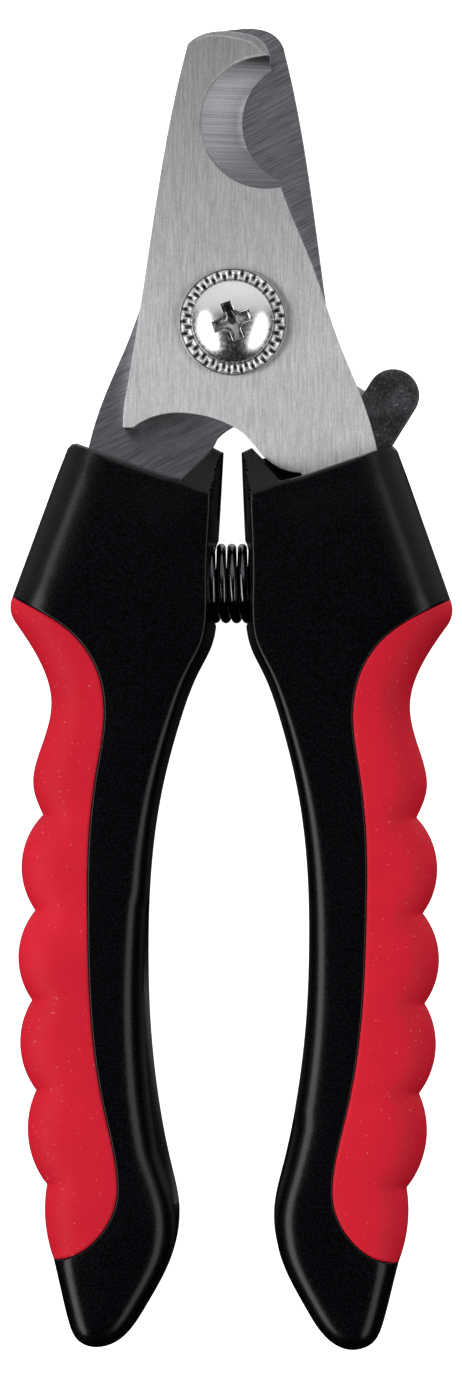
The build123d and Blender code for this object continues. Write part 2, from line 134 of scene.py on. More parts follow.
# ---- plan curves ----------------------------------------------------------------------------------
def circle(count):
    """Points round the unit circle."""
    turn = np.linspace(0, math.tau, count, endpoint=False)
    return np.stack((np.cos(turn), np.sin(turn)), 1)


def left_of(direction):
    return np.array((-direction[1], direction[0]))


def spline(points, step=STEP):
    """A smooth curve through points, a point about every step."""
    p = np.array(points, float)
    t = np.concatenate(([0], np.cumsum(np.linalg.norm(np.diff(p, axis=0), axis=1))))
    h = np.diff(t)
    n = len(t)
    a, b = np.eye(n), np.zeros((n, 2))
    for i in range(1, n - 1):
        a[i, i - 1:i + 2] = h[i - 1], 2 * (h[i - 1] + h[i]), h[i]
        b[i] = 6 * ((p[i + 1] - p[i]) / h[i] - (p[i] - p[i - 1]) / h[i - 1])
    m = np.linalg.solve(a, b)
    s = np.linspace(0, t[-1], max(2, round(t[-1] / step) + 1))
    i = np.clip(np.searchsorted(t, s, side="right") - 1, 0, n - 2)
    left, right, width = (t[i + 1] - s)[:, None], (s - t[i])[:, None], h[i][:, None]
    return (m[i] * left ** 3 / (6 * width) + m[i + 1] * right ** 3 / (6 * width)
            + (p[i] / width - m[i] * width / 6) * left + (p[i + 1] / width - m[i + 1] * width / 6) * right)


def arc(points):
    """The circular arc through three points."""
    (ax, ay), (bx, by), (cx, cy) = points
    d = 2 * (ax * (by - cy) + bx * (cy - ay) + cx * (ay - by))
    a2, b2, c2 = ax * ax + ay * ay, bx * bx + by * by, cx * cx + cy * cy
    ox = (a2 * (by - cy) + b2 * (cy - ay) + c2 * (ay - by)) / d
    oy = (a2 * (cx - bx) + b2 * (ax - cx) + c2 * (bx - ax)) / d
    r = math.hypot(ax - ox, ay - oy)
    first = math.atan2(ay - oy, ax - ox)
    last = math.atan2(cy - oy, cx - ox)
    middle = math.atan2(by - oy, bx - ox)
    turn = (last - first) % math.tau
    if (middle - first) % math.tau > turn:
        turn -= math.tau
    at = first + np.linspace(0, turn, max(3, round(abs(turn) * r / STEP) + 1))
    return np.stack((ox + r * np.cos(at), oy + r * np.sin(at)), 1)


def runs(points, step=STEP):
    """Straight runs between points, divided."""
    p = np.array(points, float)
    out = [p[:1]]
    for a, b in zip(p, p[1:]):
        n = max(1, round(np.linalg.norm(b - a) / step))
        out.append(a + (b - a) * np.arange(1, n + 1)[:, None] / n)
    return np.concatenate(out)


def closed(*pieces):
    """One counter-clockwise loop of (points, value) pieces laid end to end, with the value at each point."""
    loop = np.concatenate([p[:-1] for p, _ in pieces])
    value = np.concatenate([np.full(len(p) - 1, float(v)) for p, v in pieces])
    x, y = loop.T
    if (x * np.roll(y, -1) - np.roll(x, -1) * y).sum() < 0:
        loop, value = loop[::-1], value[::-1]
    return loop, value


def nearest(points, loop):
    """Each point's distance to the closed loop, and the loop index, with its fraction, where that is."""
    a = loop
    ab = np.roll(loop, -1, 0) - a
    length = (ab * ab).sum(1)
    distance, at = np.empty(len(points)), np.empty(len(points))
    for start in range(0, len(points), 2000):
        part = points[start:start + 2000]
        ap = part[:, None] - a[None]
        t = np.clip((ap * ab).sum(2) / length, 0, 1)
        gap = np.linalg.norm(ap - t[..., None] * ab, axis=2)
        k = gap.argmin(1)
        row = np.arange(len(part))
        distance[start:start + 2000] = gap[row, k]
        at[start:start + 2000] = k + t[row, k]
    return distance, at


def along(value, at):
    """A value given at each loop point, read between them."""
    k = at.astype(int) % len(value)
    f = at - at.astype(int)
    return value[k] * (1 - f) + value[(k + 1) % len(value)] * f


def inside(points, loop):
    """Whether each point is inside the loop."""
    x, y = points[:, 0], points[:, 1]
    odd = np.zeros(len(points), bool)
    for (ax, ay), (bx, by) in zip(loop, np.roll(loop, -1, 0)):
        if ay != by:
            odd ^= ((ay > y) != (by > y)) & (x < (bx - ax) * (y - ay) / (by - ay) + ax)
    return odd


def inward(loop):
    """The unit normal at each point of a counter-clockwise loop, into it."""
    edge = np.roll(loop, -1, 0) - loop
    edge /= np.linalg.norm(edge, axis=1)[:, None]
    normal = np.stack((-edge[:, 1], edge[:, 0]), 1)
    normal = normal + np.roll(normal, 1, 0)
    return normal / np.linalg.norm(normal, axis=1)[:, None]


def smooth_round(value, reach):
    """A value on a loop, averaged over reach neighbours each way."""
    kernel = np.hanning(2 * reach + 3)[1:-1]
    kernel /= kernel.sum()
    return sum(k * np.roll(value, i - reach) for i, k in enumerate(kernel))


def step_up(x, low, high):
    """0 up to low, 1 from high on, and smooth between them."""
    t = np.clip((x - low) / (high - low), 0, 1)
    return t * t * (3 - 2 * t)


def soft_min(a, b, width):
    h = np.clip(0.5 + 0.5 * (b - a) / width, 0, 1)
    return b * (1 - h) + a * h - width * h * (1 - h)


def beyond_line(points, a, b):
    """How far points lie to the left of the line from a to b."""
    direction = np.subtract(b, a) / np.linalg.norm(np.subtract(b, a))
    return (points - a) @ left_of(direction)


def rounding(distance, radius):
    """How far a rounded edge lies below the flat, at a distance from the outline."""
    d = np.clip(distance, 0, radius)
    return radius - np.sqrt(np.clip(radius ** 2 - (radius - d) ** 2, 0, None))


def bend(radius, draft):
    """A drafted wall's lean, and how far inside the outline its rounded edge meets the flat."""
    lean = np.arctan2(MID_Z, draft)
    return lean, (radius + (MID_Z - radius) * np.cos(lean)) / np.sin(lean)


def edge_drop(distance, radius, draft):
    """How far a drafted wall and its rounded edge lie below the flat, at a distance from the outline."""
    lean, end = bend(radius, draft)
    reach = end - np.clip(distance, 0, end)
    curve = radius - np.sqrt(np.clip(radius ** 2 - reach ** 2, 0, None))
    wall = MID_Z - distance * np.tan(lean)
    return np.minimum(np.where(reach > radius * np.sin(lean), wall, curve), MID_Z - LAND)


# ---- plan meshes ----------------------------------------------------------------------------------
def plan_points(loop, radius, draft, extra=()):
    """Points for a plate: its outline, rows round its edge at each spot's radius and draft, and a grid."""
    normal = inward(loop)
    lean, end = bend(radius, draft)
    found = [loop]
    for k in range(RING_TURNS, -1, -1):
        offset = end - radius * np.sin(lean * k / RING_TURNS)
        ring = loop + normal * offset[:, None]
        distance, _ = nearest(ring, loop)
        found.append(ring[inside(ring, loop) & (distance > 0.97 * offset) & (offset > 0.03)])
    low, high = loop.min(0), loop.max(0)
    columns = np.arange(low[0], high[0], INNER_STEP)
    rows = np.arange(low[1], high[1], INNER_STEP * 0.87)
    x, y = np.meshgrid(columns, rows)
    x = x + INNER_STEP / 2 * (np.arange(len(rows)) % 2)[:, None]
    grid = np.stack((x.ravel(), y.ravel()), 1)
    grid = grid[inside(grid, loop)]
    distance, at = nearest(grid, loop)
    found.append(grid[distance > along(end, at) + 0.45 * INNER_STEP])
    for points in extra:
        points = points[inside(points, loop)]
        distance, _ = nearest(points, loop)
        found.append(points[distance > 0.05])
    points = np.concatenate(found)
    seen, keep = set(), []
    for i, key in enumerate(map(tuple, np.round(points / MERGE).astype(int))):
        if i < len(loop) or key not in seen:
            keep.append(i)
            seen.add(key)
    return points[keep]


def triangles(points, outline_length):
    """Delaunay triangles of the points inside their outline, as indices into points."""
    n = outline_length
    _, _, faces, source, _, _ = delaunay_2d_cdt(
        [Vector(p) for p in points], [(i, (i + 1) % n) for i in range(n)], [], 1, 1e-6, True)
    where = np.array([s[0] for s in source])
    tris = np.array([[where[i] for i in f] for f in faces if len(f) == 3])
    tris = tris[inside(points[tris].mean(1), points[:n])]
    a, b, c = (points[tris[:, i]] for i in range(3))
    flip = ((b - a)[:, 0] * (c - a)[:, 1] - (b - a)[:, 1] * (c - a)[:, 0]) < 0
    tris[flip] = tris[flip][:, ::-1]
    return tris


def place(points, z):
    return np.column_stack((points, z))


def plate_half(points, n, tris, top, floor, inset, drop):
    """A closed solid from the plane z = floor to a top surface, bevelled at its foot by inset and drop."""
    loop = points[:n]
    inset, drop = np.broadcast_to(inset, n), np.broadcast_to(drop, n)
    foot = loop + inward(loop) * inset[:, None]
    verts = np.concatenate((place(points, top), place(loop, floor + drop), place(foot, np.full(n, floor))))
    middle, low = len(points), len(points) + n
    faces = [tuple(t) for t in tris]
    for i in range(n):
        j = (i + 1) % n
        faces += [(middle + i, middle + j, j, i), (low + i, low + j, middle + j, middle + i)]
    faces += [tuple(low + t[::-1]) for t in triangles(foot, n)]
    return verts, faces


def plate_whole(points, n, tris, top, bottom):
    """A closed solid between two surfaces over the same plan points."""
    verts = np.concatenate((place(points, top), place(points, bottom)))
    low = len(points)
    faces = [tuple(t) for t in tris] + [tuple(low + t[::-1]) for t in tris]
    for i in range(n):
        j = (i + 1) % n
        faces.append((low + i, low + j, j, i))
    return verts, faces


def mirrored(verts, faces, side=1, turned=False):
    """The same solid for a side, right 1 or left -1, and turned over about the middle plane."""
    out = verts.copy()
    if side < 0:
        out[:, 0] *= -1
    if turned:
        out[:, 2] = HANDLE_T - out[:, 2]
    if (side < 0) != turned:
        faces = [f[::-1] for f in faces]
    return out, faces


def plain_normals(mesh):
    """Drop the shading that a mesh brings with it."""
    for name in ("custom_normal", "sharp_edge", "sharp_face"):
        if name in mesh.attributes:
            mesh.attributes.remove(mesh.attributes[name])


def clean(mesh, sharp=35):
    """Weld, drop faces that hang on by an edge, face outwards, and harden edges above an angle."""
    bm = bmesh.new()
    bm.from_mesh(mesh)
    bmesh.ops.remove_doubles(bm, verts=bm.verts, dist=1e-7)
    while flaps := [f for f in bm.faces if any(e.is_boundary for e in f.edges)
                    and any(len(e.link_faces) > 2 for e in f.edges)]:
        bmesh.ops.delete(bm, geom=flaps, context="FACES")
    bmesh.ops.dissolve_degenerate(bm, edges=bm.edges, dist=1e-8)
    bmesh.ops.recalc_face_normals(bm, faces=bm.faces)
    bm.to_mesh(mesh)
    bm.free()
    plain_normals(mesh)
    mesh.shade_smooth()
    mesh.set_sharp_from_angle(angle=math.radians(sharp))
    mesh.update()


def new_object(name, data):
    obj = bpy.data.objects.new(name, data)
    bpy.context.scene.collection.objects.link(obj)
    return obj


def make_object(name, verts, faces, materials=(), sharp=35):
    """An object from points in millimetres about the pivot."""
    metres = [(x * MM, (y + PIVOT_Y) * MM, z * MM) for x, y, z in verts]
    mesh = bpy.data.meshes.new(name)
    mesh.from_pydata(metres, [], [tuple(int(i) for i in f) for f in faces])
    clean(mesh, sharp)
    obj = new_object(name, mesh)
    for m in materials:
        mesh.materials.append(m)
    return obj


def apply_modifiers(obj):
    mesh = bpy.data.meshes.new_from_object(obj.evaluated_get(bpy.context.evaluated_depsgraph_get()))
    obj.modifiers.clear()
    old = obj.data
    obj.data = mesh
    mesh.name = obj.name
    bpy.data.meshes.remove(old)


def combine(obj, tool, operation="DIFFERENCE"):
    """Take a closed object out of obj, or join it on, and remove it."""
    boolean = obj.modifiers.new("cut", "BOOLEAN")
    boolean.object = tool
    boolean.operation = operation
    boolean.solver = "EXACT"
    bpy.context.view_layer.update()
    apply_modifiers(obj)
    bpy.data.objects.remove(tool)
    clean(obj.data)


def cut(obj, verts, faces):
    """Take a closed solid out of obj."""
    combine(obj, make_object("tool", verts, faces))


def cut_node(obj, node):
    """Take a copy of a blade's CAD node out of obj, run a little past the parting plane."""
    tool = new_object("tool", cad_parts[node].data.copy())
    past = -0.1 if node == "front_blade" else 0.1
    for vertex in tool.data.vertices:
        if abs(vertex.co.z / MM - MID_Z) < 0.01:
            vertex.co.z += past * MM
    combine(obj, tool)


def prism(outline, low, high):
    """A straight solid on a plan outline."""
    loop, _ = closed((np.concatenate((outline, outline[:1])), 0))
    n = len(loop)
    return plate_whole(loop, n, triangles(loop, n), np.full(n, high), np.full(n, low))


def swept(rings):
    """A capped skin over closed rings of equally many points, each ring an array of 3D points."""
    n = len(rings[0])
    verts = np.concatenate(rings)
    faces = []
    for k in range(len(rings) - 1):
        for i in range(n):
            j = (i + 1) % n
            faces.append((k * n + i, k * n + j, (k + 1) * n + j, (k + 1) * n + i))
    faces.append(tuple(range(n))[::-1])
    faces.append(tuple(range((len(rings) - 1) * n, len(rings) * n)))
    return verts, faces


def revolved(profile, around=64):
    """A solid of revolution about the pivot axis, from (radius, z) points."""
    return swept([place(r * circle(around), np.full(around, z)) for r, z in profile])


# ---- materials ------------------------------------------------------------------------------------
# Scales of noise are in features per metre, and distances of bumps in metres.
def fill_ramp(ramp, stops):
    """Set a colour ramp to colours or greys at positions."""
    while len(ramp.elements) < len(stops):
        ramp.elements.new(0.5)
    for element, (position, colour) in zip(ramp.elements, stops):
        element.position = position
        element.color = (*colour, 1) if isinstance(colour, tuple) else (colour, colour, colour, 1)


class Nodes:
    """A material of one Principled shader, with procedural noise feeding its sockets."""

    def __init__(self, name, **constants):
        self.material = bpy.data.materials.new(name)
        self.material.use_nodes = True
        self.tree = self.material.node_tree
        self.shader = self.tree.nodes["Principled BSDF"]
        for socket, value in constants.items():
            self.shader.inputs[socket.replace("_", " ")].default_value = value
        self.coordinates = self.tree.nodes.new("ShaderNodeTexCoord")

    def add(self, kind, **settings):
        node = self.tree.nodes.new(kind)
        for key, value in settings.items():
            setattr(node, key, value)
        return node

    def link(self, a, b):
        self.tree.links.new(a, b)

    def noise(self, scale, detail=3.0, turn=0.0, rough=0.55):
        """Noise with a scale for each axis, turned about the vertical."""
        mapping = self.add("ShaderNodeMapping", vector_type="TEXTURE")
        mapping.inputs["Rotation"].default_value = (0, 0, turn)
        mapping.inputs["Scale"].default_value = [1 / s for s in scale]
        noise = self.add("ShaderNodeTexNoise")
        for socket, value in (("Scale", 1.0), ("Detail", detail), ("Roughness", rough)):
            noise.inputs[socket].default_value = value
        self.link(self.coordinates.outputs["Object"], mapping.inputs["Vector"])
        self.link(mapping.outputs["Vector"], noise.inputs["Vector"])
        return noise.outputs["Fac"]

    def height_up_blade(self):
        """0 at the pivot to 1 at the blades' tips."""
        split = self.add("ShaderNodeSeparateXYZ")
        scaled = self.add("ShaderNodeMapRange")
        scaled.inputs["From Min"].default_value = PIVOT_Y * MM
        scaled.inputs["From Max"].default_value = (PIVOT_Y + TIP_REACH) * MM
        self.link(self.coordinates.outputs["Object"], split.inputs["Vector"])
        self.link(split.outputs["Y"], scaled.inputs["Value"])
        return scaled.outputs["Result"]

    def ramp(self, source, stops):
        node = self.add("ShaderNodeValToRGB")
        fill_ramp(node.color_ramp, stops)
        self.link(source, node.inputs["Fac"])
        return node.outputs["Color"]

    def mix(self, kind, factor, a, b):
        node = self.add("ShaderNodeMix", data_type="RGBA", blend_type=kind)
        for socket, value in (("Factor", factor), ("A", a), ("B", b)):
            found = [s for s in node.inputs if s.name == socket and s.enabled][0]
            if isinstance(value, (int, float)):
                found.default_value = value if socket == "Factor" else (value, value, value, 1)
            elif isinstance(value, tuple):
                found.default_value = (*value, 1)
            else:
                self.link(value, found)
        return [s for s in node.outputs if s.enabled][0]

    def bump(self, source, strength, distance):
        node = self.add("ShaderNodeBump")
        node.inputs["Strength"].default_value = strength
        node.inputs["Distance"].default_value = distance
        self.link(source, node.inputs["Height"])
        previous = self.shader.inputs["Normal"].links
        if previous:
            self.link(previous[0].from_socket, node.inputs["Normal"])
        self.link(node.outputs["Normal"], self.shader.inputs["Normal"])

    def to(self, socket, source):
        self.link(source, self.shader.inputs[socket])


def brushed(name, light, dark, scale, turn=0.0, rough=(0.3, 0.45), strength=0.35, stretch=0.0, across="",
            painted_tip_shade=0.0):
    """Brushed steel: long streaks in one direction with broad soft variation under them, and, when a tip
    shade is given, painted shade that darkens it towards the blades' tips.
    """
    m = Nodes(name, Metallic=1.0, Anisotropic=stretch)
    streaks = m.noise(scale, detail=4.0, turn=turn, rough=0.6)
    fine = m.noise(tuple(s * 2.7 for s in scale), detail=2.0, turn=turn)
    broad = m.noise((90, 60, 90), detail=2.0)
    colour = m.ramp(streaks, [(0.36, dark), (0.62, light)])
    colour = m.mix("MULTIPLY", 0.35, colour, m.ramp(broad, [(0.3, 0.9), (0.7, 1.0)]))
    grain = m.noise((5200, 5200, 5200), detail=2.0, rough=0.7)
    colour = m.mix("MULTIPLY", 0.6, colour, m.ramp(grain, [(0.32, 0.72), (0.6, 1.0)]))
    # Painted shade: the colour darkens towards the blades' tips.
    if painted_tip_shade:
        colour = m.mix("MULTIPLY", 1.0, colour, m.ramp(m.height_up_blade(), [(0.0, 1.0), (1.0, painted_tip_shade)]))
    m.to("Base Color", colour)
    m.to("Roughness", m.ramp(fine, [(0.3, rough[0]), (0.7, rough[1])]))
    m.bump(streaks, strength, 0.00003)
    if across:
        tangent = m.add("ShaderNodeTangent", direction_type="UV_MAP", uv_map=across)
        m.to("Tangent", tangent.outputs["Tangent"])
    return m.material


def chrome(name, rough, light=(0.78, 0.86)):
    m = Nodes(name, Metallic=1.0)
    cloud = m.noise((400, 400, 400), detail=3.0)
    m.to("Base Color", m.ramp(cloud, [(0.3, light[0]), (0.7, light[1])]))
    m.to("Roughness", m.ramp(m.noise((2500, 2500, 2500), detail=3.0), [(0.35, rough[0]), (0.7, rough[1])]))
    m.bump(m.noise((700, 700, 700), detail=2.0), 0.05, 0.00002)
    return m.material


def black_plastic():
    m = Nodes("black_plastic", Specular_IOR_Level=0.24)
    grain = m.noise((3600, 3600, 3600), detail=3.0, rough=0.65)
    broad = m.noise((70, 70, 70), detail=2.0)
    m.to("Base Color", m.ramp(grain, [(0.44, (0.0001, 0.0001, 0.0002)), (0.68, (0.0040, 0.0032, 0.0066))]))
    m.to("Roughness", m.mix("MULTIPLY", 1.0, m.ramp(grain, [(0.3, 0.24), (0.7, 0.33)]),
                            m.ramp(broad, [(0.3, 0.9), (0.7, 1.0)])))
    m.bump(grain, 0.5, 0.000008)
    return m.material


def red_rubber():
    m = Nodes("red_rubber", Specular_IOR_Level=0.16)
    broad = m.noise((55, 55, 55), detail=3.0)
    speck = m.noise((2300, 2300, 2300), detail=1.0)
    colour = m.ramp(broad, [(0.3, (0.62, 0.009, 0.026)), (0.7, (0.75, 0.013, 0.034))])
    pale = m.ramp(speck, [(0.725, 0.0), (0.76, 1.0)])
    colour = m.mix("MIX", m.mix("MULTIPLY", 1.0, pale, 0.35), colour, (0.85, 0.35, 0.36))
    m.to("Base Color", colour)
    m.to("Roughness", m.ramp(m.noise((1500, 1500, 1500), detail=3.0), [(0.3, 0.56), (0.7, 0.7)]))
    m.bump(m.noise((3800, 3800, 3800), detail=3.0, rough=0.6), 0.35, 0.00003)
    return m.material


def spring_black():
    m = Nodes("spring_black", Metallic=1.0)
    cloud = m.noise((600, 600, 600), detail=3.0)
    m.to("Base Color", m.ramp(cloud, [(0.3, (0.08, 0.083, 0.09)), (0.7, (0.13, 0.134, 0.14))]))
    m.to("Roughness", m.ramp(m.noise((1800, 1800, 1800)), [(0.3, 0.05), (0.7, 0.1)]))
    m.bump(cloud, 0.1, 0.00002)
    return m.material


def tab_coating():
    m = Nodes("tab_coating", Specular_IOR_Level=0.45)
    grain = m.noise((3000, 3000, 3000), detail=3.0, rough=0.7)
    colour = m.ramp(grain, [(0.35, (0.030, 0.028, 0.033)), (0.6, (0.085, 0.078, 0.087)),
                            (0.70, (0.3, 0.28, 0.29))])
    broad = m.noise((420, 420, 420), detail=3.0)
    m.to("Base Color", m.mix("MULTIPLY", 1.0, colour, m.ramp(broad, [(0.38, 0.4), (0.6, 1.0)])))
    m.to("Roughness", m.ramp(grain, [(0.3, 0.3), (0.7, 0.45)]))
    m.bump(grain, 0.5, 0.00005)
    return m.material


SLANT = math.radians(-62)   # direction of the rear blade's brushing
# The front blade's colour takes painted shade towards its tips.
BLADE = brushed("blade_front", (1.0, 0.995, 1.0), (0.73, 0.725, 0.755), (7000, 400, 7000), rough=(0.43, 0.5),
                strength=0.3, stretch=0.8, across="across_y", painted_tip_shade=0.6)
GRIND = brushed("blade_grind", (0.36, 0.36, 0.375), (0.23, 0.23, 0.245), (60, 8500, 60), rough=(0.42, 0.5),
                strength=0.2, stretch=0.85, across="across_x")
# The rear blade's steel is a darker copy of the front blade's: painted shade for the blade lying behind the
# front one.
REAR_PAINTED_SHADE = brushed("blade_rear_painted_shade", (0.58, 0.57, 0.61), (0.30, 0.295, 0.325), (7000, 260, 7000),
               turn=SLANT, rough=(0.38, 0.46), strength=0.3, stretch=0.8, across="across_slant")
STEEL = brushed("plain_steel", 0.55, 0.40, (900, 900, 900), rough=(0.3, 0.45))
CHROME = chrome("chrome", (0.2, 0.32))
# A darker copy of the chrome for the faces down in the cross recess: painted shade.
RECESS_PAINTED_SHADE = chrome("screw_recess_painted_shade", (0.2, 0.3), (0.2, 0.6))
RIDGE = chrome("washer_ridges", (0.35, 0.5), (0.62, 0.8))
# A darker copy of the chrome for the washer's low cells between its ridges: painted shade; the ridges keep
# the lighter copy.
CELL_PAINTED_SHADE = chrome("washer_cells_painted_shade", (0.2, 0.32), (0.15, 0.35))
BLACK = black_plastic()
RED = red_rubber()
SPRING = spring_black()
COATING = tab_coating()


# ---- handles and grips ----------------------------------------------------------------------------
SCALLOP_RUNS = [arc(s) for s in SCALLOPS]
LINE = spline(GRIP_LINE)
FINE_LINE = spline(GRIP_LINE, 0.25)


def outlines(ledge):
    """The outline of a half and its grip, its edge radius and draft, and the half's own outline.

    ledge gives how far the inner edge is set in, by distance below the pivot.
    """
    inner = spline(INNER_EDGE)
    ahead = np.gradient(inner, axis=0)
    ahead /= np.linalg.norm(ahead, axis=1)[:, None]
    inner = inner + np.stack((ahead[:, 1], -ahead[:, 0]), 1) * ledge(-inner[:, 1])[:, None]
    top = runs(TOP, 0.35)
    back = runs(OUTER_TOP)
    whole = [(top, TOP_R), (back, SHOULDER_R), (arc(GRIP_TOP), GRIP_TOP_R), (spline(GRIP_WAIST), WAIST_R),
             *[(s, SCALLOP_R) for s in SCALLOP_RUNS], (inner, BY_DEPTH)]
    silhouette, radius = closed(*whole)
    on_inner = radius == BY_DEPTH
    depth = -silhouette[:, 1]
    radius = smooth_round(np.where(on_inner, np.interp(depth, EDGE_Y, EDGE_RADIUS), radius), 3)
    draft = smooth_round(np.where(on_inner, np.interp(depth, EDGE_Y, EDGE_DRAFT), OUTER_DRAFT), 3)
    half, _ = closed((top, 0), (back, 0), (LINE, 0), (inner, 0))
    return silhouette, radius, draft, half


WHOLE = outlines(np.zeros_like)
GRIP, _ = closed((LINE[::-1], 0), (arc(GRIP_TOP), 0), (spline(GRIP_WAIST), 0),
                 *[(s, 0) for s in SCALLOP_RUNS])


def distance_to_line(points):
    """How far points are from the grip line."""
    gap = np.full(len(points), np.inf)
    for a, b in zip(FINE_LINE, FINE_LINE[1:]):
        ab = b - a
        t = np.clip(((points - a) @ ab) / (ab @ ab), 0, 1)
        gap = np.minimum(gap, np.linalg.norm(points - a - t[:, None] * ab, axis=1))
    return gap


def body_top(points, shape):
    """Height of a handle half and grip together: drafted walls, rounded edges and a slight crown."""
    silhouette, radius, draft, _ = shape
    distance, at = nearest(points, silhouette)
    drop = edge_drop(distance, along(radius, at), along(draft, at))
    shoulder = beyond_line(points, OUTER_TOP[0], OUTER_TOP[-1])
    drop = np.maximum(drop, edge_drop(np.maximum(-shoulder, 0), SHOULDER_R, OUTER_DRAFT))
    return HANDLE_T - drop - CROWN * (1 - step_up(distance, 0, CROWN_WIDTH))


def handle_top(points, shape, front):
    """Height of a handle half: a front one slopes down to the blades at its top."""
    z = body_top(points, shape)
    if front:
        fall = beyond_line(points, *SLOPE_FOOT) * (HANDLE_T - SLOPE_Z) / SLOPE_RUN
        z = soft_min(z, np.maximum(HANDLE_T - fall, SLOPE_Z), SLOPE_BLEND)
    gap = distance_to_line(points)
    z = z - rounding(gap, SEAM_R) - SEAM_DIP * (1 - step_up(gap, 0, SEAM_DIP_WIDTH))
    return np.maximum(z, MID_Z + LAND)


def grip_top(points):
    """Height of a grip, with a soft crease between finger scallops."""
    z = body_top(points, WHOLE) - rounding(distance_to_line(points), GRIP_EDGE_R)
    for corner, direction, side in creases():
        offset = points - corner
        depth = offset @ direction
        fade = (1 - step_up(depth, *CREASE_FADE)) * (depth > -1)
        z -= CREASE_DEPTH * fade * np.exp(-np.sqrt((offset @ side) ** 2 + 0.02) / CREASE_WIDTH)
    return np.maximum(z, MID_Z + LAND)


def creases():
    """Each crease between two finger scallops: its corner, the way in from there, and the way across."""
    normal = inward(GRIP)
    for corner in (np.array(s[0]) for s in SCALLOPS):
        direction = normal[np.linalg.norm(GRIP - corner, axis=1).argmin()]
        yield corner, direction, left_of(direction)


def edge_rows(loop, shape):
    """Radius and draft for the rows of points round a loop: its shape's, or small along the grip line."""
    silhouette, radius, draft, _ = shape
    distance, at = nearest(loop, silhouette)
    on_edge = distance < 0.02
    return np.where(on_edge, along(radius, at), GRIP_EDGE_R), np.where(on_edge, along(draft, at), 0.02)


def crease_rows():
    """Extra points along the grip's creases."""
    inwards = np.arange(0.2, 5, 0.35)[:, None]
    return [corner + direction * inwards + side * across for corner, direction, side in creases()
            for across in (-0.8, -0.4, -0.18, 0, 0.18, 0.4, 0.8)]


def slope_rows(outline):
    """Extra points along the foot of the slope, up it, and where it meets the drafted wall."""
    a, b = np.array(SLOPE_FOOT, float)
    direction = (b - a) / np.linalg.norm(b - a)
    normal = left_of(direction)
    rows = [runs((a + normal * beyond, b + normal * beyond), 0.4)
            for beyond in (-0.3, -0.15, 0, 0.15, 0.3, *np.arange(0.7, 6.5, 0.5))]
    wall = (outline[:, 0] < 2.4) & (outline[:, 1] > -24)
    return rows + [(outline + inward(outline) * offset)[wall] for offset in np.arange(0.1, 0.95, 0.1)]


def spring_pocket(side):
    """The cylinder that the spring's pocket takes out of a side."""
    ring = POCKET_R * circle(48) + (SPRING_Y, MID_Z)
    return swept([np.column_stack((np.full(len(ring), x * side), ring)) for x in (POCKET_FROM, POCKET_END)])


def cut_lever_pocket(obj):
    """Open a half for the whole swing of the lock lever."""
    corners = []
    for ahead, across, lean in LEVER_SWING:
        angle = math.radians(lean)
        forward = np.array((math.sin(angle), math.cos(angle)))
        corners.append(RIVET_AT + forward * ahead - left_of(forward) * across)
    heel = RIVET_AT + LEVER_ROOM * circle(40)
    for outline in (heel, np.array(corners)):
        cut(obj, *prism(outline, LEVER_POCKET_Z, MID_Z + 1))


def build_half(side, side_name, front):
    """One moulded half of a handle, hollowed for what it holds."""
    def ledge(depth):
        return np.interp(depth, LEDGE_Y[side_name], LEDGE_WIDTH[side_name])

    shape = outlines(ledge) if front else WHOLE
    outline = shape[3]
    n = len(outline)
    points = plan_points(outline, *edge_rows(outline, shape), extra=slope_rows(outline) if front else ())
    tris = triangles(points, n)
    inset, drop = SEAM, SEAM
    if not front:
        on_inner = nearest(outline, spline(INNER_EDGE)[:-1])[0] < 0.05
        width = np.where(on_inner, ledge(-outline[:, 1]), 0)
        inset, drop = SEAM + width, SEAM + LEDGE_DROP * np.clip(width / LEDGE_FULL, 0, 1)
    solid = plate_half(points, n, tris, handle_top(points, shape, front), MID_Z, inset, drop)
    name = f"{side_name}_handle_{'front' if front else 'back'}"
    obj = make_object(name + "_shell", *mirrored(*solid, side, not front), [BLACK])
    cut(obj, *spring_pocket(side))
    if front == (side > 0):
        cut_node(obj, "front_blade" if front else "rear_blade")
    if not front:
        combine(obj, make_object("tool", *prism(np.array(SHELF) * (side, 1), *SHELF_Z)), "UNION")
    if side > 0 and not front:
        cut_lever_pocket(obj)
    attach(obj, f"{side_name}_half")
    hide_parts(name)


def build_grips():
    """Both grips, each one solid over the front and back of its handle."""
    n = len(GRIP)
    points = plan_points(GRIP, *edge_rows(GRIP, WHOLE), extra=crease_rows())
    tris = triangles(points, n)
    top = grip_top(points)
    solid = plate_whole(points, n, tris, top, HANDLE_T - top)
    for side, side_name in SIDES:
        obj = make_object(f"{side_name}_grip_rubber", *mirrored(*solid, side), [RED])
        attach(obj, f"{side_name}_half")
        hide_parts(f"{side_name}_grip")


# ---- metal ----------------------------------------------------------------------------------------
def join_flats(mesh):
    """Weld a CAD mesh and join up its flats."""
    bm = bmesh.new()
    bm.from_mesh(mesh)
    bmesh.ops.remove_doubles(bm, verts=bm.verts, dist=2e-6)
    bmesh.ops.dissolve_limit(bm, angle_limit=math.radians(0.4), verts=bm.verts, edges=bm.edges)
    bm.to_mesh(mesh)
    bm.free()
    plain_normals(mesh)


def bevelled(node, name, body, slot, material, width):
    """A copy of a CAD piece in a new object, with its flats joined up and its edges broken."""
    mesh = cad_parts[node].data.copy()
    join_flats(mesh)
    obj = new_object(name, mesh)
    bevel = obj.modifiers.new("bevel", "BEVEL")
    bevel.width = width * MM
    bevel.segments = 2
    bevel.limit_method = "ANGLE"
    bevel.angle_limit = math.radians(30)
    bevel.use_clamp_overlap = True
    bpy.context.view_layer.update()
    apply_modifiers(obj)
    mesh = obj.data
    mesh.materials.clear()
    mesh.materials.append(material)
    mesh.polygons.foreach_set("material_index", [0] * len(mesh.polygons))
    mesh.shade_smooth()
    mesh.set_sharp_from_angle(angle=math.radians(32))
    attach(obj, body)
    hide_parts(node)
    return obj


